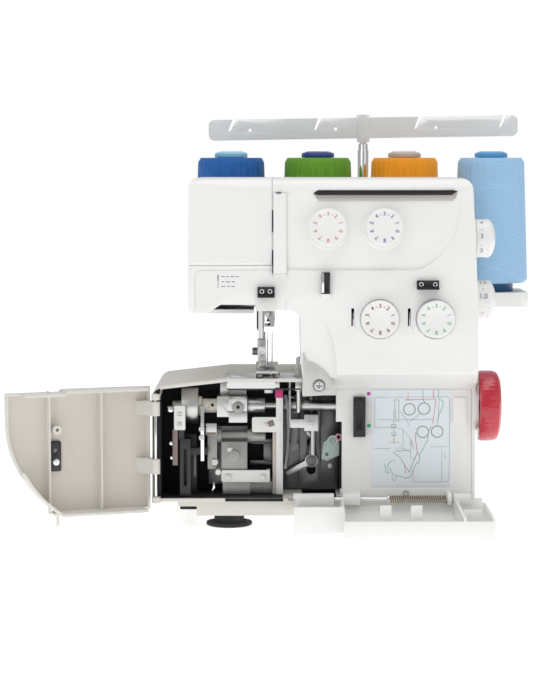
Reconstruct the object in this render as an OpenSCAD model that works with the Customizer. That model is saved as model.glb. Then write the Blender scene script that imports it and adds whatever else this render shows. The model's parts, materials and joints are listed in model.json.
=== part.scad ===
// Overlock machine with open side cover and looper cover, four thread cones and a telescopic guide bar.
// Millimetres, +X to the right seen from the front, +Y to the back, +Z up, feet on z = 0.

/* [Housing] */
// front to back depth of the two housing halves
housing_depth = 158; // [150:1:160]
// wall thickness of the plastic shells
wall = 3; // [2.5:0.1:3.2]
// height of the top of the head
head_top = 323.4; // [318:0.2:326]

/* [Controls] */
// radius of the four tension dials
dial_r = 17.3; // [15:0.1:18.4]
// radius of the two side dials
side_dial_r = 17.5; // [15:0.1:18.5]
// radius of the handwheel
wheel_r = 33; // [28:0.5:33]

/* [Covers] */
// how far the side cover stands open, degrees from closed
side_open = 160; // [150:1:165]
// coils in the looper cover spring
spring_turns = 26; // [10:1:30]

/* [Thread] */
// largest radius of the thread wound on each cone
thread_r = 37; // [30:0.5:37]
// height of the wound thread
thread_h = 124; // [90:1:124]

/* [Hidden] */
$fn = 48;
shift = [0, -74.15, 0];
shaft_y = 40;
shaft_z = 111.3;
shaft_r = 5;
run_gap = 0.06;
hinge_x = -113.5;
hinge_y = 1.5;
rod_y = 5;
rod_z = 28.8;
cone_x = [-48.3, 38.3, 124.8, 211.3];
cone_y = 200;
post_x = 85;
post_y = 240;
stand_top = 209.3;

function arc(c, r, a0, a1, n = 8) =
  [for (i = [0:n]) let(a = a0 + (a1 - a0) * i / n) [c[0] + r * cos(a), c[1] + r * sin(a)]];

housing_xz = concat([[21, 26], [21, 140], [20, 150], [19, 188]], arc([8, 192.5], 11, 0, 90),
  [[-79.2, 200.9], [-83.2, 204]], arc([-75.2, head_top - 8], 8, 180, 90), arc([165.8, head_top - 11], 11, 90, 2),
  [[181.4, 200], [181.4, 26]]);
housing_yz = concat([[housing_depth, 26], [22, 26], [22, 130], [0, 144], [-2, 150], [0, 190], [3, 240],
  [3.2, 244], [2, 246], [2.6, 252], [10.2, head_top - 14]], arc([24.2, head_top - 14], 14, 180, 90),
  arc([housing_depth - 16, head_top - 16], 16, 90, 0));
set_back = [[5, 214], [18.6, 210.6], [26, 208.6], [34, 203.5], [41.4, 195], [47, 182], [50.5, 167],
  [52.3, 150], [52.3, 100], [5, 100]];
bed_xz = concat([[21, 26], [-117.5, 26]], arc([-106, 122], 11.5, 180, 100), [[-48.6, 140], [21, 140]]);
side_uz = [[1, 18], [89, 18], [97, 24.6], [103.5, 30], [110, 36.6], [116.7, 45], [123.3, 55.5], [129, 67],
  [133.2, 79], [135.5, 92], [136, 105], [136, 130], [86, 130], [84, 132.3], [1, 132.3]];

module place() { translate(shift) children(); }
module box(x0, x1, y0, y1, z0, z1) { translate([x0, y0, z0]) cube([x1 - x0, y1 - y0, z1 - z0]); }
module cx(x0, x1, r, y, z) { translate([x0, y, z]) rotate([0, 90, 0]) cylinder(h = x1 - x0, r = r); }
module cy(y0, y1, r, x, z) { translate([x, y0, z]) rotate([-90, 0, 0]) cylinder(h = y1 - y0, r = r); }
module cz(z0, z1, r, x, y) { translate([x, y, z0]) cylinder(h = z1 - z0, r = r); }
module along_y(y0, y1) { translate([0, y1, 0]) rotate([90, 0, 0]) linear_extrude(y1 - y0) children(); }
module along_x(x0, x1) { translate([x0, 0, 0]) rotate([90, 0, 90]) linear_extrude(x1 - x0) children(); }
module plate2(x0, x1, z0, z1, r) {
  translate([x0 + r, z0 + r]) offset(r = r) square([x1 - x0 - 2 * r, z1 - z0 - 2 * r]);
}
module on_front(x, y, z, tilt) { translate([x, y, z]) rotate([90 - tilt, 0, 0]) children(); }

module housing_solid(inset) {
  intersection() {
    along_y(-20, 170) offset(delta = -inset) polygon(housing_xz);
    along_x(-120, 190) offset(delta = -inset) polygon(housing_yz);
  }
}
module housing_shell() {
  difference() {
    housing_solid(0);
    difference() {
      housing_solid(wall);
      along_y(-20, 4 + wall) offset(delta = wall) polygon(set_back);
    }
    along_y(-20, 4) polygon(set_back);
  }
}
module face_zone(g) { box(-100, -6.5 - g, -20, 62 - g, 244 + g, 340); }
module panel_zone(g) { box(52 + g, 178 - g, 15, 27, 20, 129 - g); }

module front_housing() color("white") place() {
  difference() {
    housing_shell();
    box(-120, 200, 84, 200, 0, 400);
    face_zone(0);
    panel_zone(0);
    box(0, 53, -20, 90, 20, 123);
    along_y(-20, 8) polygon([[10, 123], [10, 165], [20, 165], [20, 123]]);
    for (x = [66.8, 118.3]) box(x - 1.3, x + 1.3, -10, 10, 185, 205);
    for (x = [44.1, 95.3]) on_front(x, 6.4, 277.6, 9) translate([0, 0, -9]) cylinder(h = 20, r = 5);
    for (x = [91.4, 142.3]) on_front(x, 0.3, 195.2, 3.5) translate([0, 0, -9]) cylinder(h = 20, r = 5);
    along_y(-20, 80) polygon([[-66.4, 190], [-66.4, 200.2], [-56.1, 206.8], [-53.4, 208.4], [-21, 208],
      [-4, 207.4], [-1.5, 205], [-1.5, 190]]);
    cx(170, 190, 6, shaft_y, shaft_z);
    for (z = [267.4, 210.8]) cx(170, 190, 5, shaft_y, z);
    box(-5.9, 6.8, -12, 30, 234, 309.9);
  }
  box(-69, -24, 30, 83.6, 198.4, 202);
  for (x = [44.1, 95.3]) on_front(x, 6.4, 277.6, 9) dial_ring();
  for (x = [91.4, 142.3]) on_front(x, 0.3, 195.2, 3.5) dial_ring();
  for (z = [267.4, 210.8]) difference() {
    cx(177, 181.2, side_dial_r + 1, shaft_y, z);
    cx(170, 190, 5, shaft_y, z);
  }
  difference() {
    cx(179, 184, 22, shaft_y, shaft_z);
    cx(170, 190, 6, shaft_y, shaft_z);
  }
}
module dial_ring() {
  translate([0, 0, -2.4]) difference() {
    cylinder(h = 3, r = dial_r + 2.2);
    translate([0, 0, -1]) cylinder(h = 6, r = 5);
  }
}
module rear_housing() color("white") place() {
  difference() {
    housing_shell();
    box(-120, 200, -30, 84.3, 0, 400);
    box(-26, -12, 84, 156, 195, 215);
    for (z = [36:7:85]) box(60, 140, 150, 170, z, z + 3);
    box(178, 190, 116.7, 151.3, 34.7, 63.3);
  }
  box(40, 130, housing_depth, housing_depth + 3, 198, 207);
}
module face_cover() color("white") place() {
  intersection() {
    housing_shell();
    face_zone(0.4);
  }
  intersection() {
    along_x(-5.9, 6.8) polygon([[-1, 234.2], [1.6, 252], [8, 296], [8.6, 309.7], [16, 309.7], [12, 234.2]]);
    box(-5.7, 6.6, -10, 30, 234.2, 309.7);
  }
}
module looper_panel() color("white") place() {
  difference() {
    intersection() {
      housing_shell();
      panel_zone(0.3);
    }
    box(50, 57.7, 10, 30, 20, 98.4);
  }
  for (x = [[57.9, 74.3], [154.5, 158.2]]) difference() {
    union() {
      box(x[0], x[1], rod_y, 23, rod_z - 5.5, rod_z + 5.5);
      cx(x[0], x[1], 5.5, rod_y, rod_z);
    }
    cx(x[0] - 1, x[1] + 1, 2 + run_gap, rod_y, rod_z);
  }
  along_y(19.5, 22.4) plate2(160.5, 172.5, 97, 121, 1.5);
  box(56, 176, 20.5, 22.4, 26.2, 36);
}
module base_tray() color("tan") place() {
  difference() {
    box(-94, 181.4, 14, 152, 11.8, 25.8);
    box(-90, 178, 18, 148, 14.8, 30);
    box(-95, -74.6, 10, 160, 10, 20.5);
    box(57.2, 74.9, 10, 23.6, 22.7, 30);
    box(153.8, 158.7, 10, 23.6, 22.7, 30);
  }
  box(-94, -74, 14, 152, 20.5, 22.5);
  box(-76.6, -74.6, 14, 152, 11.8, 22.5);
}
module rubber_feet() color("black") place() {
  for (p = [[-47, 36], [150, 44], [-47, 130], [150, 130]]) translate([p[0], p[1], 0]) {
    rotate_extrude() polygon([[0, 0], [20, 0], [21.5, 1.5], [21.5, 5], [14, 7.5], [14, 11.8], [0, 11.8]]);
  }
}
module machine_frame() color("gray") place() {
  difference() {
    union() {
      box(-104, 160, 66, 74, 29.2, 122);
      box(56, 64, 28, 66, 29.2, 300);
      box(150, 158, 28, 66, 29.2, 300);
      box(56, 160, 66, 74, 121, 300);
      box(-78, 56, 66, 74, 215, 300);
      box(60, 160, 74, 140, 29.2, 33);
      for (z = [222, 290]) box(-24, 0, 27, 66, z, z + 10);
    }
    for (x = [55, 149]) cx(x, x + 11, shaft_r + 4, shaft_y, shaft_z);
    for (z = [221, 289]) {
      cz(z, z + 13, 3.2 + run_gap, -9.3, 35);
      cz(z, z + 13, 3.2 + run_gap, -16.5, 44);
    }
  }
}
module ring_x(x0, x1, ro, ri, y, z) {
  difference() {
    cx(x0, x1, ro, y, z);
    cx(x0 - 1, x1 + 1, ri, y, z);
  }
}
module shaft_bearings() color("silver") place() {
  difference() {
    ring_x(-72, -58, 6.6, shaft_r + run_gap, shaft_y, shaft_z);
    cy(30, 40, 1.5, -66, shaft_z);
  }
  difference() {
    union() {
      box(-58, -47, 29, 66, 102, 121);
      along_x(-47, -30) polygon([[27, 97], [66, 97], [66, 108], [52, 121], [29, 121], [27, 119]]);
    }
    cx(-60, -28, shaft_r + run_gap, shaft_y, shaft_z);
    cy(20, 30, 3.2, -38.4, 110);
    box(-48, -29, 26, 32, 106.6, 107.6);
  }
  for (x = [55.6, 149.6]) ring_x(x, x + 8.8, shaft_r + 4, shaft_r + run_gap, shaft_y, shaft_z);
}
module bed_shell() color("ivory") place() {
  difference() {
    along_y(6, 150) polygon(bed_xz);
    along_y(5, 147) difference() {
      offset(delta = -wall) polygon(bed_xz);
      translate([-200, 0]) square([90, 200]);
    }
    along_y(5, 65.5) translate([-110, 29]) square([140, 100]);
    box(18, 30, 5, 147, 29, 137);
    box(-48.9, 30, 8, 64, 130, 150);
    box(-49, 30, 0, 8.1, 20, 134);
    box(8, 30, 0, 18, 20, 31);
    for (z = [52, 105.6]) box(-120, -108, 5, 12, z, z + 15);
  }
  for (z = [26, 121]) difference() {
    union() {
      cz(z, z + 5, 4, hinge_x, hinge_y);
      box(hinge_x - 4, hinge_x + 4, hinge_y, 7, z, z + 5);
    }
    cz(z - 1, z + 6, 1.3, hinge_x, hinge_y);
  }
}
module side_cover_pin() color("silver") place() {
  cz(25, 127, 1.3, hinge_x, hinge_y);
}
module needle_plate() color("silver") place() {
  difference() {
    box(-48.6, 20.8, 8.2, 63.8, 137.6, 140);
    for (x = [-20.5, -3.6]) box(x, x + 4, 18, 58, 137, 141);
    box(-13.5, -5.5, 31, 40, 137, 141);
    box(8, 20.9, 26, 42, 137, 141);
    for (p = [[-42, 16], [14, 56]]) cz(137, 141, 2, p[0], p[1]);
  }
  for (p = [[-42, 16], [14, 56]]) cz(137.8, 140.4, 1.9, p[0], p[1]);
}
module column_plate() color("silver") place() {
  difference() {
    along_y(2.2, 4) polygon(concat([[21.4, 124], [21.4, 164.7]], arc([18, 124], 33, 78, 3, 10)));
    along_y(0, 6) translate([36.2, 134.2]) circle(r = 2.4);
  }
}
module looper_back_plate() color("dimgray") place() {
  difference() {
    box(3.5, 55.6, 60, 63, 30, 119);
    for (z = [48, 74]) cy(55, 66, 4.2, 30, z);
    box(18.5, 19.1, 58, 60.6, 30, 119);
    box(38.5, 39.1, 58, 60.6, 30, 119);
  }
  for (x = [14, 46]) cy(62, 66, 4, x, 40);
}
module looper_castings() color("silver") place() {
  cx(-58, -13, 5, shaft_y, 83);
  box(-67, -58, 30, 60, 53, 90);
  cx(-67, -54, 8, shaft_y, 83);
  box(-54, -30, 27, 58, 53, 79);
  box(-53, -27, 27, 60, 30, 41.2);
  box(-27, -6, 33, 60, 30, 41.2);
  cy(24, 28, 5.5, -42, 66);
  box(-67, -30, 58, 66, 35, 90);
  cx(-30, -13, 7, shaft_y, 83);
}
module lever_blocks() color("white") place() {
  difference() {
    along_y(24, 27) plate2(-54, -9, 41.6, 52.7, 2);
    for (x = [-48, -15]) cy(20, 30, 1.8, x, 47);
  }
  box(-12, -9, 27, 33.5, 41.6, 52.7);
  box(-97, -87, 13, 21, 92, 114);
  box(-98.6, -94, 13, 17, 59, 92);
  difference() {
    box(-92, -82, 14, 34, 30, 83);
    box(-88.5, -85.5, 10, 24, 40, 74);
  }
  box(-93, -88, 15, 20, 83, 92);
  difference() {
    box(-72.7, -70, 20, 30.5, 73, 113);
    cx(-75, -68, 2, 26, 105);
  }
  box(-82, -67, 20, 30, 68, 74);
  along_y(25, 26.4) polygon([[4.6, 56], [6.6, 56], [8.6, 70], [9.4, 90], [8.8, 112], [6.6, 123], [4.2, 123],
    [6.6, 110], [7.2, 90], [6.6, 72]]);
  box(4.4, 7, 25, 60, 54, 58);
}
module threading_post() color("white") place() {
  box(-3.2, 3.2, 27, 32, 29.8, 120);
  along_y(27, 29) plate2(-25.5, -2, 88, 102, 2);
  box(-4, 3.2, 26.5, 33, 120, 128.5);
  for (z = [50, 74, 98]) cy(25.6, 27.2, 1.2, 0, z);
}
module threading_chart() color("lightblue") place() {
  along_y(21.5, 22) plate2(85.5, 158.5, 38, 130 - 1.6, 2);
}
module thread_guides() color("silver") place() {
  difference() {
    union() {
      box(125, 145, -3.5, 1.7, 222.5, 230.6);
      box(125, 145, -8.5, -3.5, 222.5, 224.3);
    }
    for (x = [130, 140]) cy(-6, 0.2, 1.6, x, 228);
  }
  difference() {
    union() {
      box(-20, -4.4, -3.5, 1.3, 215.2, 224.7);
      box(-20, -4.4, -8, -3.5, 215.2, 216.8);
    }
    for (x = [-16, -8.4]) cy(-6, 0.2, 1.4, x, 221.6);
  }
  difference() {
    box(38.3, 45.9, -2.6, 1.3, 215, 238);
    box(40.6, 43.6, -4, -0.6, 218, 235);
  }
  difference() {
    box(68.2, 79.3, 15, 22, 85, 122);
    box(71, 76.6, 14, 18, 92, 116);
  }
  on_front(96, 9.8, 304, 8.5) difference() {
    linear_extrude(1.2) polygon([[-64.6, 6], [-61, 8.3], [61, 8.3], [64.6, 6], [61, 3.7], [-61, 3.7]]);
    for (x = [-52, 0, 52]) translate([x, 6, -1]) cylinder(h = 4, r = 1);
  }
  for (x = [44, 148]) on_front(x, 9.8, 304, 8.5) translate([0, 6, -3]) cylinder(h = 3.2, r = 2.6);
}
module clear_thread_guide() color("palegreen") place() {
  difference() {
    along_y(29, 31) polygon([[39, 63], [44, 61], [55.4, 66], [55.5, 80], [50, 84.6], [41, 78]]);
    cy(28, 32, 2.6, 48, 74);
    cy(28, 32, 1.6, 44, 67);
  }
  box(51, 54, 31, 60, 70, 76);
  difference() {
    cy(27.4, 28.9, 5, 49.5, 80);
    cy(27, 29.2, 3.2, 49.5, 80);
  }
  cy(28.6, 29.4, 4.6, 49.5, 75);
}
module tension_posts() color("silver") place() {
  for (p = [[44.1, 277.6, 6.4, 9], [95.3, 277.6, 6.4, 9], [91.4, 195.2, 0.3, 3.5], [142.3, 195.2, 0.3, 3.5]]) {
    on_front(p[0], p[2], p[1], p[3]) {
      translate([0, 0, -30]) cylinder(h = 20, r = 3);
      for (z = [-26, -23]) translate([0, 0, z]) cylinder(h = 1, r = 11);
    }
    box(p[0] - 5, p[0] + 5, 25, 66, p[1] - 9, p[1]);
  }
}
module lower_knife() color("silver") place() {
  box(22.9, 36, 27, 60, 89, 104);
  box(8.6, 10.4, 27, 34, 92, 138.8);
  box(8.6, 30, 27, 32, 92, 100);
  cz(66, 90, 2.5, 31, 32);
  cz(103, 121, 2.5, 30, 52);
}
module screws() color("silver") place() {
  for (p = [[-38.4, 27, 110, 3], [-12.5, 27, 95, 2.2], [-48, 24, 47, 2.6], [-15, 24, 47, 2.6],
      [-92, 13, 106, 2.6], [-92, 13, 97, 2.4], [-72, 20, 92, 2.6], [-72, 20, 84, 2.6],
      [29, 27, 96, 2.6], [-60, 30, 60, 3], [-46, 27, 72, 2.4], [12, 60, 110, 2.4], [48, 60, 52, 2.4]]) {
    difference() {
      cy(p[1] - 1.8, p[1] + 2, p[3], p[0], p[2]);
      box(p[0] - p[3] - 1, p[0] + p[3] + 1, p[1] - 3, p[1] - 1, p[2] - 0.4, p[2] + 0.4);
    }
  }
  for (p = [[36.2, 1.2, 134.2, 4.4], [117.3, 20.6, 31.6, 3.2]]) difference() {
    cy(p[1] - 0.6, p[1] + 4, p[3], p[0], p[2]);
    box(p[0] - 3, p[0] + 3, -10, p[1] + 0.2, p[2] - 0.4, p[2] + 0.4);
    box(p[0] - 0.4, p[0] + 0.4, -10, p[1] + 0.2, p[2] - 3, p[2] + 3);
  }
  for (p = [[-70, 300], [168, 300], [168, 60], [40, 60]]) {
    cy(housing_depth - 1, housing_depth + 1, 3.2, p[0], p[1]);
  }
}
module drive_motor() color("silver") place() {
  cx(70, 146, 24, 108, 64);
  cx(146, 152, 10, 108, 64);
  cx(152, 177, 3, 108, 64);
  box(80, 140, 90, 126, 33, 44);
}
module motor_pulley() color("dimgray") place() {
  difference() {
    union() {
      cx(165.5, 175, 5, 108, 64);
      cx(164, 165.5, 6.6, 108, 64);
      cx(175, 176.5, 6.6, 108, 64);
    }
    cx(160, 178, 3 + run_gap, 108, 64);
  }
}
module belt_path(g) {
  hull() {
    translate([shaft_y, shaft_z]) circle(r = 12.5 + g);
    translate([108, 64]) circle(r = 5 + g);
  }
}
module drive_belt() color("black") place() {
  along_x(166.5, 174) difference() {
    belt_path(2);
    belt_path(0.4);
  }
}
module main_shaft() color("silver") place() {
  cx(-100, -13.4, shaft_r, shaft_y, shaft_z);
  cx(-91, -75.5, 17, shaft_y, shaft_z);
  cx(-75.5, -72.4, 9, shaft_y, shaft_z);
  cx(-29.6, -13.4, 7, shaft_y, shaft_z);
  cx(-13.4, -3, 3, shaft_y, shaft_z);
  cx(-3, 190, shaft_r, shaft_y, shaft_z);
  cx(166, 174.5, 12.5, shaft_y, shaft_z);
  for (x = [164.5, 174.5]) cx(x, x + 1.5, 14, shaft_y, shaft_z);
}
module handwheel() color("crimson") place() {
  translate([0, shaft_y, shaft_z]) rotate([0, 90, 0]) rotate_extrude() polygon([[shaft_r + run_gap, 185], [wheel_r - 1, 185],
    [wheel_r, 187], [wheel_r, 198], [wheel_r - 1.5, 202], [wheel_r - 6, 204.6], [20, 205.5], [18, 203.4],
    [8, 203.4], [8, 190], [shaft_r + run_gap, 190]]);
  translate([0, shaft_y, shaft_z]) rotate([0, 90, 0]) translate([0, 0, 190.4]) cylinder(h = 13.4, r = 8.2);
}
module needle_bar() color("silver") place() {
  cz(196, 312, 3.2, -9.3, 35);
  difference() {
    box(-14.4, -4.2, 30.6, 39, 181.4, 204.6);
    cy(28, 33, 1.6, -12, 188);
  }
  for (x = [-12, -7]) {
    cz(150, 182, 0.9, x, 34.6);
    translate([x, 34.6, 147]) cylinder(h = 3, r1 = 0.3, r2 = 0.9);
    cy(29, 31, 1.9, x, 186);
  }
}
module presser_bar() color("silver") place() {
  cz(173.6, 312, 3.2, -16.5, 44);
  difference() {
    box(-22, -13, 44.6, 62, 262, 270);
    box(-19.2, -11.7, 50, 58, 261, 271);
  }
}
module presser_foot() color("silver") place() {
  difference() {
    union() {
      box(-20.6, -10.6, 39.6, 50, 153, 173.4);
      box(-19.6, -12, 36, 46, 148, 153);
      along_x(-21.8, -1.4) polygon([[14, 144.2], [20, 140.4], [58, 140.4], [58, 145], [48, 152], [40, 152],
        [36, 145.4], [14, 146.6]]);
    }
    box(-14.2, -4.8, 30.6, 39, 139, 147.8);
    box(-8.5, -7.5, 10, 31, 139, 150);
    cy(35, 41, 2, -15.6, 160);
  }
  cy(37.6, 39.8, 2.4, -17, 166);
}
module lifter_lever() color("white") place() {
  difference() {
    along_x(-22, -15) polygon([[113, 209], [123, 209], [123, 190], [142, 184], [143, 178], [138, 174],
      [116, 178], [113, 186]]);
    box(-30, -10, 100, 110, 170, 220);
  }
  cx(-24, -13, 5, 118, 212);
}
module dial(x, y, z, tilt) {
  on_front(x, y, z, tilt) {
    translate([0, 0, 0.9]) cylinder(h = 8.5, r = dial_r);
    translate([0, 0, 9.4]) cylinder(h = 1.2, r1 = dial_r, r2 = dial_r - 1.2);
    translate([0, 0, -8]) cylinder(h = 9.4, r = 4.4);
    translate([-1.6, -dial_r + 7, 10.2]) cube([3.2, 2 * dial_r - 14, 1.6]);
    for (a = [18:36:342]) rotate([0, 0, a]) translate([dial_r - 0.6, -1, 1.2]) cube([1.2, 2, 7.6]);
  }
}
module dial_needle_left() color("white") place() dial(44.1, 6.4, 277.6, 9);
module dial_needle_right() color("white") place() dial(95.3, 6.4, 277.6, 9);
module dial_looper_upper() color("white") place() dial(91.4, 0.3, 195.2, 3.5);
module dial_looper_lower() color("white") place() dial(142.3, 0.3, 195.2, 3.5);
module side_dial(x0, z) {
  cx(x0, x0 + 12, side_dial_r, shaft_y, z);
  translate([x0 + 12, shaft_y, z]) rotate([0, 90, 0]) {
    cylinder(h = 3, r1 = side_dial_r, r2 = side_dial_r - 2.8);
    translate([0, 0, 3]) cylinder(h = 3.2, r1 = side_dial_r - 2.8, r2 = 4);
  }
  cx(172, x0 + 1, 4.4, shaft_y, z);
  for (a = [7.5:15:352.5]) translate([0, shaft_y, z]) rotate([a, 0, 0])
    box(x0 + 9.5, x0 + 11.6, -0.4, 0.4, 17, side_dial_r + 0.4);
}
module stitch_length_dial() color("white") place() side_dial(181.6, 267.4);
module differential_dial() color("white") place() side_dial(182.3, 210.8);
module upper_looper() color("silver") place() {
  along_y(52, 56) polygon([[4.6, 47], [8, 44], [30, 54], [34, 62], [29, 64], [26, 59]]);
  cy(50, 60, 6, 30, 48 + 10);
  along_y(52, 55) polygon([[28, 62], [33, 62], [31, 84], [26, 86], [25, 84], [29, 80]]);
}
module lower_looper() color("dimgray") place() {
  cy(46, 59.6, 5.5, 13, 72);
  along_y(46, 50) polygon([[10, 74], [16, 74], [18, 98], [17.4, 112], [14, 119.6], [11, 120.4], [11.4, 110],
    [12, 98]]);
  along_y(38.5, 50) polygon([[14, 119.6], [11, 120.4], [2.4, 121.8], [2.4, 120.6], [9.4, 118.4], [12.8, 118]]);
}
module upper_knife() color("silver") place() {
  box(14.7, 20.4, 28, 38, 126.6, 135.8);
  along_y(36, 41) polygon([[14.8, 127], [17, 127], [17, 148], [19.2, 152], [19.2, 158], [15.2, 156]]);
  cz(106, 127, 2.2, 17.6, 31.5);
  box(14.9, 19.4, 31, 36.4, 138, 145.6);
  box(15.2, 16.8, 33, 36.4, 135, 139);
}
module feed_dogs() color("silver") place() {
  for (x = [-20.1, -3.2]) {
    box(x, x + 3.2, 24, 52, 130, 139);
    for (y = [25:2.6:50]) translate([x, 0, 0]) along_x(0, 3.2) polygon([[y, 138.8], [y + 2.4, 138.8], [y + 1.8, 139.8]]);
  }
  box(-20.1, 0, 45, 52, 126, 131);
  box(-14, -6, 46, 50, 122.4, 127);
}
module cover_frame() { translate([hinge_x, hinge_y, 0]) rotate([0, 0, -side_open]) children(); }
module side_cover() color("ivory") place() cover_frame() {
  difference() {
    along_y(-20.5, 4) polygon(side_uz);
    along_y(-18, 5) intersection() {
      offset(delta = -2.5) polygon(side_uz);
      translate([0, 0]) square([200, 200]);
    }
    along_y(-15, 5) translate([122, 10]) square([30, 150]);
    box(-1, 8, -14, 5, 10, 140);
  }
  for (u = [47.3, 96]) box(u, u + 1.6, -18.4, -10, 19, 131);
  difference() {
    cy(-18.4, -9, 4, 90, 96);
    cy(-14, -8, 1.6, 90, 96);
  }
  difference() {
    for (z = [[52.8, 66.2], [106.4, 119.2]]) {
      cz(z[0], z[1], 4, 0, 0);
      along_z(z[0], z[1]) polygon([[0, -4], [4, 0], [12, -12], [14, -19], [1.4, -19]]);
    }
    cz(20, 130, 1.3 + run_gap, 0, 0);
  }
  cz(8.6, 19, 1.4, 90.7, -8);
  box(87.5, 94, -19, -6, 18, 20.5);
}
module along_z(z0, z1) { translate([0, 0, z0]) linear_extrude(z1 - z0) children(); }
module cover_latch() color("black") place() cover_frame() {
  difference() {
    union() {
      along_y(-17.9, -15.4) plate2(85, 95, 57.4, 85.2, 2);
      cy(-15.6, -13.8, 3, 90, 66);
    }
    cy(-19, -14, 2, 90, 76);
    box(86, 94, -14.6, -13, 65.6, 66.4);
  }
}
module cover_rod() color("silver") place() {
  cx(44, 166, 2, rod_y, rod_z);
  cx(99.4, 100.8, 4.2, rod_y, rod_z);
}
function coil_point(i, pitch) = let(a = 30 * i)
  [101.8 + pitch * i / 12, rod_y + 3.3 * cos(a), rod_z + 3.3 * sin(a)];
module cover_spring() color("peru") place() {
  n = spring_turns * 12;
  pitch = 52 / spring_turns;
  pts = [for (i = [0:n]) for (k = [0:4]) let(a = 30 * i, q = coil_point(i, pitch), b = 72 * k)
    [q[0] + 0.45 * sin(b), q[1] + 0.45 * cos(b) * cos(a), q[2] + 0.45 * cos(b) * sin(a)]];
  faces = concat([[4, 3, 2, 1, 0]], [for (i = [0:n - 1]) for (k = [0:4])
    [5 * i + k, 5 * i + (k + 1) % 5, 5 * i + 5 + (k + 1) % 5, 5 * i + 5 + k]],
    [[for (k = [0:4]) 5 * n + k]]);
  polyhedron(points = pts, faces = faces);
}
module tray_skin(x0, x1, ztop, yin) {
  outer = [[-3, 21.4], [-9, 25], [-11.6, 33], [-11.8, 60], [-11.8, ztop], [yin, ztop], [yin, ztop - 2.5],
    [-9.3, ztop - 2.5], [-9.3, 60], [-9.2, 34.6], [-7, 28.4], [-3, 24.2]];
  along_x(x0, x1) polygon(outer);
}
module tray_wall(x0, x1, ztop, yin) {
  along_x(x0, x1) polygon([[-4, 22], [-9, 25.2], [-11.6, 33], [-11.8, 60], [-11.8, ztop], [yin, ztop],
    [yin, 46], [-4, 37]]);
}
module looper_cover() color("white") place() {
  translate([0, rod_y, rod_z]) rotate([90, 0, 0]) translate([0, -rod_y, -rod_z]) difference() {
    union() {
      tray_skin(56, 188, 139.5, 2.6);
      tray_skin(12.8, 57, 119, 12);
      tray_wall(12.8, 15.4, 119, 8);
      tray_wall(55.2, 57.8, 119, 8);
      tray_wall(185.4, 188, 139.5, 4.4);
      tray_wall(160.2, 163, 139.5, 5.8);
      along_x(162, 178) polygon([[-10, 118], [10, 118], [10, 121], [-10, 121]]);
      for (x = [88, 115]) along_x(x, x + 10) polygon([[-10, 124], [14, 124], [15, 127], [-10, 127]]);
      cx(12.8, 50, 5.4, rod_y, rod_z);
      cx(160.2, 176, 5.4, rod_y, rod_z);
      box(12.8, 50, -6, 5, 23.5, 29);
      box(160.2, 187, -6, 5, 23.5, 29);
    }
    cx(40, 60, 2 + run_gap, rod_y, rod_z);
    cx(150, 170, 2 + run_gap, rod_y, rod_z);
  }
}
module spool_stand() color("white") place() {
  difference() {
    union() {
      along_z(stand_top - 13.8, stand_top) translate([-85 + 10, 162 + 10]) offset(r = 10) square([311, 64]);
      box(30, 140, 161.2, 175, 195.5, stand_top);
      cz(195.5, stand_top, 14, post_x, post_y);
    }
    along_z(190, stand_top - 3) translate([-82 + 8, 165 + 8]) offset(r = 8) square([309, 62]);
    cz(190, 220, 5.56, post_x, post_y);
  }
  for (x = cone_x) cz(200, stand_top - 2, 8, x, cone_y);
  difference() {
    cz(200, stand_top - 2, 11, post_x, post_y);
    cz(190, 220, 5.56, post_x, post_y);
  }
}
module spool_pins() color("ivory") place() {
  for (x = cone_x) cz(stand_top - 4, 300, 3.5, x, cone_y);
}
module post_tube() color("silver") place() {
  difference() {
    cz(196, 350, 5.5, post_x, post_y);
    cz(198, 352, 4.8, post_x, post_y);
  }
}
module post_middle() color("silver") place() {
  difference() {
    cz(200, 356, 4.74, post_x, post_y);
    cz(203, 358, 3.8, post_x, post_y);
  }
  cz(200, 202, 4.74, post_x, post_y);
}
module guide_bar() color("white") place() {
  cz(206, 386, 3.74, post_x, post_y);
  difference() {
    along_y(post_y - 1.5, post_y + 1.5) translate([85, 373]) rotate(0.9) difference() {
      translate([-157, -11]) plate2(0, 314, 0, 21, 6);
      for (x = [-137, -50, 52, 138]) {
        translate([x, -2]) polygon([[0, 0], [2, 0], [9, 14], [5, 14]]);
        translate([x + 22, -1]) circle(r = 1.6);
      }
    }
    cz(350, 400, 3.7, post_x, post_y);
  }
  difference() {
    cz(358, 386, 6.4, post_x, post_y);
    cz(350, 400, 3.7, post_x, post_y);
  }
}
module cone_body(x) {
  translate([x, cone_y, stand_top + 0.3]) rotate_extrude() polygon([[4.5, 0], [23, 0], [23, 8.4], [24, 8.4], [24, 12],
    [12.9, thread_h + 8.8], [16.3, thread_h + 8.8], [16.3, thread_h + 13], [11, thread_h + 15], [4.5, thread_h + 15]]);
}
module thread_body(x) {
  translate([x, cone_y, stand_top + 0.3]) rotate_extrude() polygon([[24.1, 8.5], [thread_r - 3, 8.5],
    [thread_r, 12], [thread_r - 4, thread_h + 4], [thread_r - 6.5, thread_h + 8.6], [13.2, thread_h + 8.6],
    [24.1, 12.2]]);
}
module power_inlet() color("dimgray") place() {
  difference() {
    box(168, 181.4, 117, 151, 35, 63);
    box(172, 190, 120, 135, 39, 59);
    box(176, 190, 138, 148, 42, 56);
  }
  for (y = [123.5, 127.5, 131.5]) cx(171, 179, 1.2, y, 49);
  intersection() {
    cx(176, 190, 9, 143, 49);
    box(175, 182.6, 138.3, 147.7, 42.3, 55.7);
  }
}
module cone_core_1() color("lightblue") place() cone_body(cone_x[0]);
module cone_core_2() color("navy") place() cone_body(cone_x[1]);
module cone_core_3() color("gray") place() cone_body(cone_x[2]);
module cone_core_4() color("royalblue") place() cone_body(cone_x[3]);
module thread_1() color("blue") place() thread_body(cone_x[0]);
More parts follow.
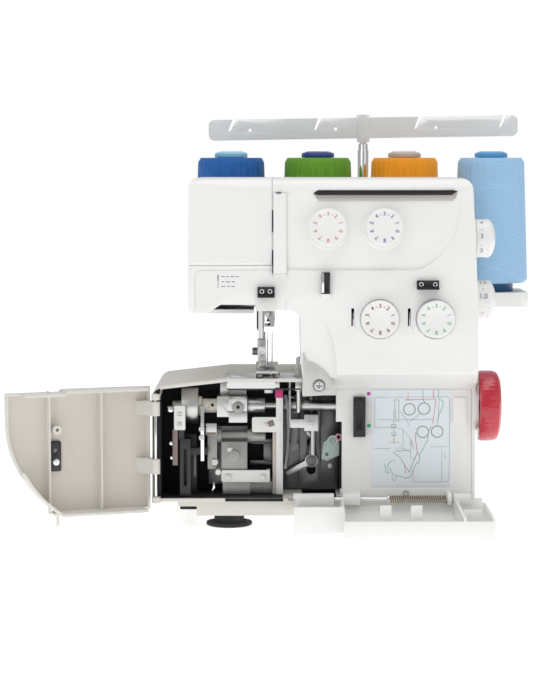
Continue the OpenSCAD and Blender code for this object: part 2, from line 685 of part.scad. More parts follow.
module thread_2() color("green") place() thread_body(cone_x[1]);
module thread_3() color("orange") place() thread_body(cone_x[2]);
module thread_4() color("skyblue") place() thread_body(cone_x[3]);

front_housing();
rear_housing();
face_cover();
looper_panel();
base_tray();
rubber_feet();
machine_frame();
shaft_bearings();
bed_shell();
side_cover_pin();
needle_plate();
column_plate();
looper_back_plate();
looper_castings();
lever_blocks();
threading_post();
threading_chart();
thread_guides();
clear_thread_guide();
tension_posts();
lower_knife();
screws();
drive_motor();
motor_pulley();
drive_belt();
main_shaft();
handwheel();
needle_bar();
presser_bar();
presser_foot();
lifter_lever();
dial_needle_left();
dial_needle_right();
dial_looper_upper();
dial_looper_lower();
stitch_length_dial();
differential_dial();
upper_looper();
lower_looper();
upper_knife();
feed_dogs();
side_cover();
cover_latch();
cover_rod();
cover_spring();
looper_cover();
spool_stand();
spool_pins();
post_tube();
post_middle();
guide_bar();
power_inlet();
cone_core_1();
cone_core_2();
cone_core_3();
cone_core_4();
thread_1();
thread_2();
thread_3();
thread_4();
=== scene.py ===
# %% [markdown]
# # An overlock machine, drawn around its measured frame
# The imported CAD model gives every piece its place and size. This script gives the pieces their looks:
# moulded plastic shells, turned metal, wound thread and small printed marks. Lengths are millimetres
# in the design frame, and `at()` turns them into metres in the row frame.

# %% Load the frame
import json
import math

import bpy
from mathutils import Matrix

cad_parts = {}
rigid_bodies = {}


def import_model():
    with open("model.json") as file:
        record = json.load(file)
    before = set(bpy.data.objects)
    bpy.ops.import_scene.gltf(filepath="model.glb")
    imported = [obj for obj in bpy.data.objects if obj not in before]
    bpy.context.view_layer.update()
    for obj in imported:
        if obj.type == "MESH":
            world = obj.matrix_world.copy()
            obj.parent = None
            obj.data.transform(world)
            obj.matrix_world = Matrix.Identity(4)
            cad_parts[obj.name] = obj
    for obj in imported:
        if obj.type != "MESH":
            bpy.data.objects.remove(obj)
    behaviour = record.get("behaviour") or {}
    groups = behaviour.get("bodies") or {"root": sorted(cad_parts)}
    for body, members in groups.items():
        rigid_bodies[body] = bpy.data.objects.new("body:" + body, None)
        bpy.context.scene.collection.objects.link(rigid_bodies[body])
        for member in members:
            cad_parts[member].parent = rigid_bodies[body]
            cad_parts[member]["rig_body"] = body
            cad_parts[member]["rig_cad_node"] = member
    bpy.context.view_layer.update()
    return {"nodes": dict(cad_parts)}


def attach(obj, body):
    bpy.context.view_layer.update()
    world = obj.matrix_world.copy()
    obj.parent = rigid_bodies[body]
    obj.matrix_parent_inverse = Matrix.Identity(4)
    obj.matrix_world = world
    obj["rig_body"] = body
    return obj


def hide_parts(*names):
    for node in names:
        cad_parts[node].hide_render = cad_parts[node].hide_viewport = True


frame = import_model()
SHIFT_Y = -74.15
print("nodes in the frame:", len(frame["nodes"]))


def at(x, y, z):
    """Millimetres in the design frame to metres in the row frame."""
    return (x / 1000, (y + SHIFT_Y) / 1000, z / 1000)


# %% [markdown]
# ## Selecting pieces
# A Blender operator acts on everything that is selected. So each helper here first deselects all, and
# then selects the one piece that it works on.

# %% Select, apply and clean
def only(obj):
    bpy.ops.object.select_all(action="DESELECT")
    obj.select_set(True)
    bpy.context.view_layer.objects.active = obj
    return obj


def apply_place(obj):
    """Moves the object's place, turn and scale into its mesh."""
    only(obj)
    bpy.ops.object.transform_apply(location=True, rotation=True, scale=True)
    return obj


def edit_all(obj):
    """Opens the mesh for editing with every point selected."""
    only(obj)
    bpy.ops.object.mode_set(mode="EDIT")
    bpy.ops.mesh.select_all(action="SELECT")


def clean(obj, gap=1e-6):
    """Merges points that sit on one another and turns the normals outwards."""
    edit_all(obj)
    bpy.ops.mesh.remove_doubles(threshold=gap)
    bpy.ops.mesh.normals_make_consistent(inside=False)
    bpy.ops.object.mode_set(mode="OBJECT")
    return obj


print("selected at the start:", len(bpy.context.selected_objects))

# %% [markdown]
# ## Modifiers
# A modifier is a recipe that Blender works out anew each time. Applying it turns its result into plain
# mesh, so the piece can be cut or joined afterwards. Bevels give edges the small round that catches
# light, and booleans cut one solid with another.

# %% Bevels and booleans
def modify(obj, kind, **settings):
    """Adds a modifier with these settings and applies it."""
    only(obj)
    mod = obj.modifiers.new(kind.lower(), kind)
    for key, value in settings.items():
        setattr(mod, key, value)
    bpy.ops.object.modifier_apply(modifier=mod.name)
    return obj


def bevel(obj, width, segments=2, angle=35):
    return modify(obj, "BEVEL", width=width / 1000, segments=segments, limit_method="ANGLE",
                  angle_limit=math.radians(angle), harden_normals=False, use_clamp_overlap=True)


def boolean(obj, tool, operation):
    modify(obj, "BOOLEAN", operation=operation, solver="EXACT", object=tool)
    bpy.data.objects.remove(tool)
    return obj


def cut(obj, tool):
    return boolean(obj, tool, "DIFFERENCE")


def common(obj, tool):
    return boolean(obj, tool, "INTERSECT")


print("boolean kinds: cut and common")

# %% [markdown]
# ## Painting, joining and placing
# A moulded piece can carry two finishes, such as a steel shaft with a cream sleeve. `paint` picks the
# faces by their place instead of splitting the piece. `place` finishes a piece: it shades it smooth up
# to a crease angle and ties it to the CAD body that moves it.

# %% Paint, join and place
def paint(obj, mat, test):
    """Gives a second material to the faces whose centre and normal pass the test."""
    obj.data.materials.append(mat)
    number = len(obj.data.materials) - 1
    for face in obj.data.polygons:
        x, y, z = face.center
        if test(x * 1000, y * 1000 - SHIFT_Y, z * 1000, face.normal):
            face.material_index = number
    return obj


def join(objs, name):
    only(objs[0])
    for other in objs[1:]:
        other.select_set(True)
    if len(objs) > 1:
        bpy.ops.object.join()
    bpy.context.object.name = name
    return bpy.context.object


def place(obj, body, material=None, stands_for=(), angle=32):
    """Shades a finished piece, gives it its material, and lets it move with its CAD body."""
    if material is not None and not obj.data.materials:
        obj.data.materials.append(material)
    only(obj)
    bpy.ops.object.shade_smooth_by_angle(angle=math.radians(angle))
    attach(obj, body)
    if stands_for:
        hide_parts(*stands_for)
    return obj


def body_of_node(node):
    return frame["nodes"][node]["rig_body"]


print("the handwheel rides on:", body_of_node("handwheel"))

# %% [markdown]
# ## Boxes and rods
# Most brackets and pins start as a cube or a cylinder at their real size. Each is turned and moved
# first, and then its place goes into the mesh, so that the object itself stays at the origin.

# %% Box and rod
def box(name, x0, x1, y0, y1, z0, z1):
    centre = at((x0 + x1) / 2, (y0 + y1) / 2, (z0 + z1) / 2)
    bpy.ops.mesh.primitive_cube_add(size=1, location=centre)
    obj = bpy.context.object
    obj.name = name
    obj.scale = ((x1 - x0) / 1000, (y1 - y0) / 1000, (z1 - z0) / 1000)
    return apply_place(obj)


TURN_TO = {"x": (0, math.radians(90), 0), "y": (math.radians(-90), 0, 0)}


def rod(name, axis, lo, hi, r, u, v, sides=48):
    """A cylinder along x or y from lo to hi. u and v are its two other coordinates."""
    mid = (lo + hi) / 2
    spot = {"x": (mid, u, v), "y": (u, mid, v)}[axis]
    bpy.ops.mesh.primitive_cone_add(vertices=sides, radius1=r / 1000, radius2=r / 1000,
                                    depth=(hi - lo) / 1000, location=at(*spot), rotation=TURN_TO[axis])
    bpy.context.object.name = name
    return apply_place(bpy.context.object)


def turned(obj, x, y, z, degrees, axis="X"):
    """Turns a piece about a point of the design frame."""
    only(obj)
    bpy.ops.transform.rotate(value=math.radians(degrees), orient_axis=axis, center_override=at(x, y, z))
    return apply_place(obj)


print("rods run along:", sorted(TURN_TO))

# %% [markdown]
# ## Plates
# A plate has a free outline. A circle of loose edges is bent to the outline, filled with one face and
# extruded to its thickness. Round corners come from arcs, so an outline has no more points than its
# shape needs.

# %% Outline to plate
def ring_of_points(name, points):
    """A closed loop of edges: a circle whose points are moved onto the outline, in row-frame metres."""
    bpy.ops.mesh.primitive_circle_add(vertices=len(points), radius=0.01, fill_type="NOTHING")
    obj = bpy.context.object
    obj.name = name
    for vertex, spot in zip(obj.data.vertices, points):
        vertex.co = spot
    return obj


def slab(name, outline, lo, hi, axis="y"):
    """A flat plate: the outline is filled, then extruded from lo to hi along the axis."""
    if axis == "y":
        points = [at(a, lo, b) for a, b in outline]
        move = (0, (hi - lo) / 1000, 0)
    else:
        points = [at(lo, a, b) for a, b in outline]
        move = ((hi - lo) / 1000, 0, 0)
    obj = ring_of_points(name, points)
    edit_all(obj)
    bpy.ops.mesh.edge_face_add()
    bpy.ops.mesh.extrude_region_move(TRANSFORM_OT_translate={"value": move})
    bpy.ops.mesh.select_all(action="SELECT")
    bpy.ops.mesh.normals_make_consistent(inside=False)
    bpy.ops.object.mode_set(mode="OBJECT")
    return obj


def arc(cx, cz, r, a0, a1, n=10):
    steps = [math.radians(a0 + (a1 - a0) * i / n) for i in range(n + 1)]
    return [(cx + r * math.cos(a), cz + r * math.sin(a)) for a in steps]


def rounded(x0, x1, z0, z1, r, n=6):
    """The outline of a rectangle with round corners."""
    return (arc(x1 - r, z1 - r, r, 0, 90, n) + arc(x0 + r, z1 - r, r, 90, 180, n)
            + arc(x0 + r, z0 + r, r, 180, 270, n) + arc(x1 - r, z0 + r, r, 270, 360, n))


print("points in a rounded outline:", len(rounded(0, 10, 0, 10, 1)))

# %% [markdown]
# ## Turned pieces
# Knobs, feet and rings are round about one axis, as if made on a lathe. Half of the section is drawn as
# an outline and spun a full turn, and the two ends are then merged into a closed skin.

# %% Lathe
def lathe(name, profile, centre, axis="z", steps=64):
    """Spins a closed profile of (radius, height) pairs round an axis through centre."""
    turn = {"z": lambda r, h: (r, 0, h), "x": lambda r, h: (h, 0, r), "y": lambda r, h: (r, h, 0)}[axis]
    points = []
    for r, h in profile:
        x, y, z = turn(r, h)
        points.append(at(centre[0] + x, centre[1] + y, centre[2] + z))
    obj = ring_of_points(name, points)
    edit_all(obj)
    way = {"z": (0, 0, 1), "x": (1, 0, 0), "y": (0, 1, 0)}[axis]
    bpy.ops.mesh.spin(steps=steps, angle=math.tau, center=at(*centre), axis=way)
    bpy.ops.object.mode_set(mode="OBJECT")
    return clean(obj)


print("steps in a full turn:", lathe.__defaults__[1])

# %% [markdown]
# ## Solid finishes
# Real plastic and metal are never one flat colour. Each finish mixes a slow cloudy tone with a little
# dirt, and a fine grain varies the gloss and lifts a small bump. All of it is read from Object
# coordinates, so the pattern stays on the piece when it moves.

# %% Shader helpers
def noise(tree, source, scale, detail):
    node = tree.nodes.new("ShaderNodeTexNoise")
    node.inputs["Scale"].default_value = scale
    node.inputs["Detail"].default_value = detail
    tree.links.new(source, node.inputs["Vector"])
    return node.outputs["Fac"]


def stretched(tree, source, scale):
    node = tree.nodes.new("ShaderNodeMapping")
    node.inputs["Scale"].default_value = scale
    tree.links.new(source, node.inputs["Vector"])
    return node.outputs["Vector"]


def lifted(tree, height, strength, distance):
    node = tree.nodes.new("ShaderNodeBump")
    node.inputs["Strength"].default_value = strength
    node.inputs["Distance"].default_value = distance
    tree.links.new(height, node.inputs["Height"])
    return node


def ranged(tree, source, **ends):
    """A Map Range node: its ends are given by name, such as to_max=0.2."""
    node = tree.nodes.new("ShaderNodeMapRange")
    for key, value in ends.items():
        node.inputs[key.replace("_", " ").title()].default_value = value
    tree.links.new(source, node.inputs["Value"])
    return node.outputs["Result"]


def new_material(name):
    mat = bpy.data.materials.new(name)
    mat.use_nodes = True
    coords = mat.node_tree.nodes.new("ShaderNodeTexCoord")
    return mat, mat.node_tree, mat.node_tree.nodes["Principled BSDF"], coords.outputs["Object"]


print("materials at the start:", len(bpy.data.materials))

# %% One builder for all solid finishes
DIRT = (0.30, 0.27, 0.22)


def material(name, colour, rough, metal=0.0, spread=0.05, grain=900, bump=0.05, scratch=0.0, coat=0.0,
             dirty=0.08, see=0.0):
    mat, tree, surface, spot = new_material(name)
    tone = tree.nodes.new("ShaderNodeMix")
    tone.data_type = "RGBA"
    tone.inputs[6].default_value = (*[c * (1 - spread) for c in colour], 1)
    tone.inputs[7].default_value = (*[min(1, c * (1 + spread)) for c in colour], 1)
    tree.links.new(noise(tree, spot, scale=22, detail=6), tone.inputs["Factor"])
    soiled = tree.nodes.new("ShaderNodeMix")
    soiled.data_type = "RGBA"
    soiled.inputs[7].default_value = (*DIRT, 1)
    spots = noise(tree, spot, scale=60, detail=9)
    stains = ranged(tree, spots, from_min=0.58, from_max=0.82, to_max=dirty)
    tree.links.new(stains, soiled.inputs["Factor"])
    tree.links.new(tone.outputs[2], soiled.inputs[6])
    tree.links.new(soiled.outputs[2], surface.inputs["Base Color"])
    fine = noise(tree, spot, scale=grain, detail=3)
    gloss = ranged(tree, fine, to_min=max(0.03, rough - 0.08), to_max=min(1, rough + 0.10))
    tree.links.new(gloss, surface.inputs["Roughness"])
    lift = lifted(tree, fine, strength=bump, distance=0.0003)
    if scratch:
        lines = noise(tree, stretched(tree, spot, (1, 14, 14)), scale=60, detail=8)
        groove = lifted(tree, lines, strength=scratch, distance=0.0002)
        tree.links.new(groove.outputs["Normal"], lift.inputs["Normal"])
    tree.links.new(lift.outputs["Normal"], surface.inputs["Normal"])
    surface.inputs["Metallic"].default_value = metal
    surface.inputs["Coat Weight"].default_value = coat
    surface.inputs["Transmission Weight"].default_value = see
    if see:
        surface.inputs["IOR"].default_value = 1.3
    return mat


print("dirt colour:", DIRT)

# %% [markdown]
# ## The machine's plastics
# The outer shells are glossy white and the base a duller beige. Inside the side cover a darker beige
# is painted shade. The feet and clips are black. The guide bar and the small thread guides let some light
# through.

# %% Plastics
WHITE = material("white_shell", (0.86, 0.862, 0.845), 0.36, spread=0.012, bump=0.04, coat=0.15, dirty=0.03)
WHITE_IN = material("white_inside", (0.80, 0.80, 0.78), 0.45, spread=0.02, bump=0.08, dirty=0.06)
BEIGE = material("beige_shell", (0.70, 0.68, 0.635), 0.48, spread=0.03, bump=0.10, dirty=0.10)
# A darker beige: painted shade inside the side cover, and the cream strip's own colour.
DARK_BEIGE_AND_SHADE = material("dark_beige_and_painted_shade", (0.62, 0.58, 0.52), 0.55, spread=0.05, bump=0.10, dirty=0.12)
DIAL = material("dial_face", (0.86, 0.862, 0.85), 0.32, spread=0.01, bump=0.03, coat=0.2, dirty=0.02)
RED = material("red_wheel", (0.52, 0.012, 0.035), 0.22, spread=0.06, bump=0.03, coat=0.6, dirty=0.02)
BLACK = material("black_part", (0.022, 0.022, 0.025), 0.42, spread=0.2, bump=0.12, dirty=0.10)
RUBBER = material("rubber_part", (0.03, 0.03, 0.032), 0.75, spread=0.2, bump=0.35, grain=1500, dirty=0.2)
CREAM = material("cream_sleeve", (0.78, 0.74, 0.66), 0.4, spread=0.04, bump=0.06)
CLEAR = material("clear_bar", (0.97, 0.98, 0.98), 0.12, spread=0.01, bump=0.05, see=0.6, dirty=0.02)
GREEN = material("pale_guide", (0.50, 0.60, 0.56), 0.18, spread=0.15, bump=0.05, see=0.2, coat=0.5,
                 dirty=0.05)
PINK = material("pink_guide", (0.85, 0.45, 0.62), 0.2, spread=0.03, see=0.4)
# Near-black: the frame's own black, and painted shade in the holes, the slots and the open bay.
BLACK_AND_SHADE = material("black_and_painted_shade", (0.012, 0.012, 0.014), 0.8, spread=0.2, bump=0.1, dirty=0.05)
CAPS = [material("cap_light_blue", (0.30, 0.62, 0.78), 0.35, coat=0.3, dirty=0.02),
        material("cap_navy", (0.02, 0.05, 0.26), 0.35, coat=0.3, dirty=0.02),
        material("cap_grey", (0.50, 0.46, 0.42), 0.40, coat=0.2, dirty=0.02),
        material("cap_blue", (0.08, 0.33, 0.62), 0.35, coat=0.3, dirty=0.02)]
CORE_BASE = material("core_base", (0.012, 0.09, 0.22), 0.4, coat=0.3, dirty=0.02)
print("plastics:", len(bpy.data.materials))

# %% [markdown]
# ## Metals
# Turned steel is bright with faint lines along it, castings are duller and grainy, and the springs are
# brown wire. Most of them sit in the open bay.

# %% Metals
STEEL = material("bright_steel", (0.60, 0.60, 0.59), 0.32, metal=1.0, spread=0.04, bump=0.02, scratch=0.03,
                 dirty=0.05)
CHROME = material("chrome_rod", (0.80, 0.80, 0.81), 0.12, metal=1.0, spread=0.03, bump=0.03, scratch=0.05,
                  dirty=0.05)
DARK = material("dark_steel", (0.20, 0.20, 0.21), 0.36, metal=0.9, spread=0.15, bump=0.15, scratch=0.2,
                dirty=0.2)
CAST = material("cast_metal", (0.36, 0.36, 0.35), 0.46, metal=0.85, spread=0.10, bump=0.45, grain=520,
                dirty=0.2)
BRONZE = material("spring_wire", (0.36, 0.27, 0.17), 0.38, metal=0.9, spread=0.2, bump=0.1, dirty=0.2)
PLATE = material("pale_plate", (0.60, 0.60, 0.58), 0.36, metal=0.25, spread=0.04, bump=0.05, scratch=0.1,
                 dirty=0.08)
BLACKED = material("blacked_steel", (0.018, 0.016, 0.018), 0.35, metal=0.2, spread=0.15, bump=0.08,
                   dirty=0.03)
BROWN = material("brown_lever", (0.23, 0.18, 0.16), 0.45, metal=0.3, spread=0.08, bump=0.1, dirty=0.1)
BAND = material("guide_band", (0.50, 0.48, 0.45), 0.3, metal=0.5, spread=0.05, bump=0.05, scratch=0.1,
                dirty=0.06)
print("with metals:", len(bpy.data.materials))

# %% [markdown]
# ## Inks and marks
# Each tension dial has its own ink, and the same colours come back as dots beside the thread paths. The
# chart is printed on a pale film.

# %% Inks
PURPLE = material("purple_mark", (0.45, 0.08, 0.42), 0.35, spread=0.03)
MAGENTA = material("magenta_mark", (0.55, 0.03, 0.18), 0.35, spread=0.04, dirty=0.02)
MARK_GREEN = material("green_mark", (0.05, 0.42, 0.16), 0.4, spread=0.03)
MARK_ORANGE = material("orange_print", (0.84, 0.36, 0.22), 0.5, spread=0.03)
MARK_RED = material("red_print", (0.62, 0.04, 0.10), 0.5, spread=0.03)
MARK_GREY = material("grey_print", (0.30, 0.31, 0.33), 0.5, spread=0.03)
PAPER = material("chart_film", (0.80, 0.86, 0.90), 0.35, spread=0.015, bump=0.03)
INKS = [material("ink_orange", (0.62, 0.30, 0.22), 0.5, spread=0.03),
        material("ink_slate", (0.16, 0.20, 0.36), 0.5, spread=0.03),
        material("ink_maroon", (0.25, 0.06, 0.08), 0.5, spread=0.03),
        material("ink_green", (0.16, 0.48, 0.32), 0.5, spread=0.03)]
print("with inks:", len(bpy.data.materials))

# %% [markdown]
# ## Thread finish
# A wound cone shows fine lines that run nearly level, crossed by a few steeper ones. The angle round the
# cone and the height above the table both come from Object coordinates, and sine waves turn them into
# lines. Modelled threads would be far too heavy.

# %% Wound thread
CONE_X = (-48.3, 38.3, 124.8, 211.3)
CONE_Y = 200
FINE_PITCH = 0.0013  # metres from one level line to the next
CROSS_PITCH = 0.041  # metres from one steep line to the next


def thread_material(name, colour, x):
    mat, tree, surface, spot = new_material(name)

    def calc(kind, *values):
        node = tree.nodes.new("ShaderNodeMath")
        node.operation = kind
        for slot, value in enumerate(values):
            if isinstance(value, (int, float)):
                node.inputs[slot].default_value = value
            else:
                tree.links.new(value, node.inputs[slot])
        return node.outputs[0]

    def wave(pitch, turns):
        return calc("SINE", calc("MULTIPLY_ADD", height, math.tau / pitch, calc("MULTIPLY", angle, turns)))

    centred = tree.nodes.new("ShaderNodeMapping")
    centred.inputs["Location"].default_value = [-value for value in at(x, CONE_Y, 0)]
    tree.links.new(spot, centred.inputs["Vector"])
    parts = tree.nodes.new("ShaderNodeSeparateXYZ")
    tree.links.new(centred.outputs["Vector"], parts.inputs[0])
    angle = calc("ARCTAN2", parts.outputs[1], parts.outputs[0])
    height = calc("MULTIPLY_ADD", noise(tree, spot, scale=30, detail=4), 0.004, parts.outputs[2])
    fine = [wave(FINE_PITCH, turns) for turns in (8, -11)]
    steep = [wave(CROSS_PITCH, turns) for turns in (2, -2)]
    steep = [calc("POWER", calc("MULTIPLY_ADD", line, 0.5, 0.5), 700) for line in steep]
    weave = calc("MULTIPLY_ADD", calc("ADD", fine[0], fine[1]), 0.2, 0.5)
    total = calc("MULTIPLY_ADD", calc("MAXIMUM", steep[0], steep[1]), 0.2, weave)
    tone = tree.nodes.new("ShaderNodeValToRGB")
    dark, light = tone.color_ramp.elements
    dark.position, light.position = 0.1, 0.9
    dark.color = (*[c * 0.74 for c in colour], 1)
    light.color = (*[min(1, c * 1.1) for c in colour], 1)
    tree.links.new(total, tone.inputs["Fac"])
    tree.links.new(tone.outputs["Color"], surface.inputs["Base Color"])
    lift = lifted(tree, total, strength=0.35, distance=0.0005)
    tree.links.new(lift.outputs["Normal"], surface.inputs["Normal"])
    surface.inputs["Roughness"].default_value = 0.75
    surface.inputs["Sheen Weight"].default_value = 0.08
    return mat


YARNS = (("thread_blue", (0.004, 0.115, 0.42)), ("thread_green", (0.12, 0.34, 0.012)),
         ("thread_orange", (1.0, 0.34, 0.0)), ("thread_sky", (0.36, 0.60, 0.86)))
THREADS = [thread_material(name, colour, x) for (name, colour), x in zip(YARNS, CONE_X)]
print("thread materials:", len(THREADS))

# %% [markdown]
# ## Pieces that keep their CAD shape
# Where the CAD shape is already right, its mesh is copied. A CAD mesh is loose triangles, so the copy's
# seams are merged and its flat faces are joined again. Only then can a bevel round its edges.

# %% Copy, merge and round
def carry(node, mat, width, change=None):
    only(frame["nodes"][node])
    bpy.ops.object.duplicate()
    obj = bpy.context.object
    obj.name = "v_" + node
    obj.parent = None
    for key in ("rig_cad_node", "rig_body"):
        if key in obj:
            del obj[key]
    obj.data.materials.clear()
    obj.data.materials.append(mat)
    clean(obj)
    edit_all(obj)
    bpy.ops.mesh.dissolve_limited(angle_limit=math.radians(0.6))
    bpy.ops.object.mode_set(mode="OBJECT")
    if change:
        change(obj)
    if width:
        bevel(obj, width, angle=32)
    return place(obj, body_of_node(node), None, [node], angle=35)


print("nodes to stand for:", len(frame["nodes"]))

# %% [markdown]
# ## The front housing
# The right part of the housing is sunk behind a long curved step, and a fine groove outlines the head's
# lower panel. The step's outline seen from the front and its depth seen from the side are two plates.
# Their common part is the solid to cut away. The fronts slope, so the groove is made upright and then
# leaned.

# %% Step and groove
LOWER = (0, 190, 3.43)
UPPER = (2.6, 252, 7.54)
LEDGE_Z = 239
STEP_TOP = 306


def lean(obj, plane):
    """Tips a piece that was made upright at y = 0 so that it lies on one of the sloping fronts."""
    y, z, degrees = plane
    only(obj)
    bpy.ops.transform.translate(value=(0, y / 1000, 0))
    apply_place(obj)
    return turned(obj, 0, y, z, degrees)


def housing_change(obj):
    for vertex in obj.data.vertices:
        x, y, z = vertex.co.x * 1000, vertex.co.y * 1000 - SHIFT_Y, vertex.co.z * 1000
        if x > 170 and 1.9 < y < 3.6 and LEDGE_Z < z < LEDGE_Z + 6:
            vertex.co.y = at(x, 1.8 + (z - LEDGE_Z) * 0.04, z)[1]
    edge = [(6.8, STEP_TOP), (6.8, 238.4), (120, 239), (130, 241), (138, 245.5), (144, 250.5), (149.8, 256.5),
            (155.5, 264), (160, 273), (163, 282), (164.5, 292), (165.5, STEP_TOP)]
    depth = [(-30, STEP_TOP), (-30, 237), (3.4, 239.4), (5.6, 240.8), (4.9, 244.6), (4.2, 252), (4.7, 262),
             (7.1, 280), (9.2, 296), (9.6, 302), (9.75, STEP_TOP)]
    cut(obj, common(slab("sunk_panel", edge, -30, 30), slab("depth", depth, 6, 167, axis="x")))
    outer = [(-77.4, 203)] + arc(-71, 234, 6.4, 180, 90, 6) + [(-6.2, 240.4)]
    inner = [(-6.2, 239.7)] + arc(-71, 234, 5.7, 90, 180, 6) + [(-76.7, 203)]
    cut(obj, lean(slab("groove", outer + inner, -6, 0.7), LOWER))


print("slope of the upper front:", UPPER[2], "degrees")

# %% [markdown]
# ## Second finishes
# Some pieces have parts of another colour: the black and brown levers, the cream sleeves on the shaft,
# the magenta tip of the threading post and the latch's screw. The inside of the side cover gets a darker
# beige as painted shade. Each function picks those faces by their place.

# %% Which faces get a second finish
SHAFT_Y, SHAFT_Z = 40, 111.3
COVER_PIN = (-113.5, 1.5)
COVER_TURN = math.radians(20)


def cover_depth(x, y):
    """How far a point lies behind the open side cover's own plane, which is turned by 20 degrees."""
    return math.sin(COVER_TURN) * (x - COVER_PIN[0]) - math.cos(COVER_TURN) * (y - COVER_PIN[1])


def levers_change(obj):
    paint(obj, BLACK, lambda x, y, z, n: (-92.5 < x < -66 and y > 13.9 and z < 83.5 and not -72.8 < x < -69.9)
          or (-93.1 < x < -87.9 and 82 < z < 92 and y > 14.8))
    paint(obj, BROWN, lambda x, y, z, n: x < -93.9 and z < 92.1)
    paint(obj, STEEL, lambda x, y, z, n: -72.8 < x < -69.9)
    paint(obj, DARK, lambda x, y, z, n: x > 4)


def side_cover_change(obj):
    def inner(x, y, z, n):
        facing = math.sin(COVER_TURN) * n.x - math.cos(COVER_TURN) * n.y
        return facing > 0.7 and -18.6 < cover_depth(x, y) < -16
    # The inner faces get the darker beige as painted shade in the hollow of the cover.
    paint(obj, DARK_BEIGE_AND_SHADE, inner)


def latch_change(obj):
    paint(obj, CHROME, lambda x, y, z, n: cover_depth(x, y) > -15.3 and 62 < z < 70)


def bearings_change(obj):
    paint(obj, CREAM, lambda x, y, z, n: x < -57.9 and abs(z - SHAFT_Z) < 7)


def shaft_change(obj):
    paint(obj, CREAM, lambda x, y, z, n: -75.5 < x < -72.3 and math.hypot(y - SHAFT_Y, z - SHAFT_Z) < 9.1)


def post_change(obj):
    paint(obj, MAGENTA, lambda x, y, z, n: z > 120.1)


def core_change(obj):
    paint(obj, CORE_BASE, lambda x, y, z, n: z < 240)


CHANGES = {"front_housing": housing_change, "lever_blocks": levers_change, "shaft_bearings": bearings_change,
           "main_shaft": shaft_change, "threading_post": post_change, "side_cover": side_cover_change,
           "cover_latch": latch_change}
print("pieces with changes:", len(CHANGES))

# %% [markdown]
# ## Carrying the pieces over
# Each CAD node is listed with its finish and the width of its edge rounding in millimetres. Moulded
# shells have soft edges and machined steel has sharp ones.

# %% Carry over the CAD shapes
# The machine frame is near-black: partly its own black, partly painted shade at the back of the bay.
KEPT = {
    "base_tray": (BEIGE, 1.0), "machine_frame": (BLACK_AND_SHADE, 0.8), "shaft_bearings": (STEEL, 0.5),
    "side_cover_pin": (CHROME, 0.3), "needle_plate": (CHROME, 0.3), "column_plate": (PLATE, 0.3),
    "looper_back_plate": (DARK, 0.4), "looper_castings": (CAST, 0.8), "lever_blocks": (WHITE_IN, 0.5),
    "threading_post": (WHITE_IN, 0.5), "threading_chart": (PAPER, 0.1), "thread_guides": (BLACKED, 0.3),
    "clear_thread_guide": (GREEN, 0.3), "tension_posts": (STEEL, 0.2), "lower_knife": (STEEL, 0.3),
    "screws": (STEEL, 0.25), "drive_motor": (DARK, 0.8), "motor_pulley": (DARK, 0.3),
    "drive_belt": (RUBBER, 0.2), "main_shaft": (STEEL, 0.5), "handwheel": (RED, 1.2),
    "needle_bar": (CHROME, 0.3), "presser_bar": (STEEL, 0.3), "presser_foot": (STEEL, 0.4),
    "lifter_lever": (BLACK, 0.8), "upper_looper": (STEEL, 0.4), "lower_looper": (DARK, 0.5),
    "upper_knife": (STEEL, 0.4), "feed_dogs": (STEEL, 0.1), "side_cover": (BEIGE, 0.8),
    "cover_latch": (BLACK, 0.3), "cover_rod": (CHROME, 0.3), "cover_spring": (BRONZE, 0.0),
    "looper_cover": (WHITE, 0.8), "spool_stand": (WHITE, 1.2), "spool_pins": (BEIGE, 0.8),
    "post_tube": (CHROME, 0.2), "post_middle": (CHROME, 0.2), "guide_bar": (CLEAR, 0.4),
    "power_inlet": (BLACK, 0.5), "front_housing": (WHITE, 0.8), "rear_housing": (WHITE, 0.8),
    "face_cover": (WHITE, 0.8), "looper_panel": (WHITE, 0.8), "bed_shell": (BEIGE, 0.8)}
for node, (mat, width) in KEPT.items():
    carry(node, mat, width, CHANGES.get(node))
for number, (thread, cap) in enumerate(zip(THREADS, CAPS), 1):
    carry("thread_%d" % number, thread, 0.5)
    core_change(carry("cone_core_%d" % number, cap, 0.5))
print("carried over:", len(KEPT) + len(THREADS) + len(CAPS))

# %% [markdown]
# ## Side dials
# Each side dial is a short drum with a domed end, turned on a lathe. One rib is made and turned round
# the axis 24 times, near the outer end, for the fingers to hold.

# %% Drums with ribs
SIDE_Y = 40


def side_dial(node, x, z):
    profile = [(0.01, x), (17.2, x), (17.5, x + 0.4), (17.5, x + 12), (17, x + 13.2), (14.5, x + 15.2),
               (10.5, x + 17), (5.5, x + 18), (0.01, x + 18.2)]
    parts = [lathe(node + "_drum", profile, (0, SIDE_Y, z), axis="x", steps=96)]
    for step in range(24):
        rib = box("rib", x + 9.5, x + 12, SIDE_Y - 0.4, SIDE_Y + 0.4, z + 17, z + 17.9)
        parts.append(turned(rib, 0, SIDE_Y, z, 15 * step + 7.5))
    obj = bevel(join(parts, "v_" + node), 0.25, angle=40)
    return place(obj, body_of_node(node), DIAL, [node])


side_dials = [side_dial("stitch_length_dial", 181.6, 267.4), side_dial("differential_dial", 182.3, 210.8)]
print("side dials:", len(side_dials))

# %% [markdown]
# ## Numbers
# A printed number is a text object turned into a mesh 0.16 mm thick, half of it above the surface. On a
# tension dial it lies on the tilted face, and on a side dial it is turned to its place on the rim.

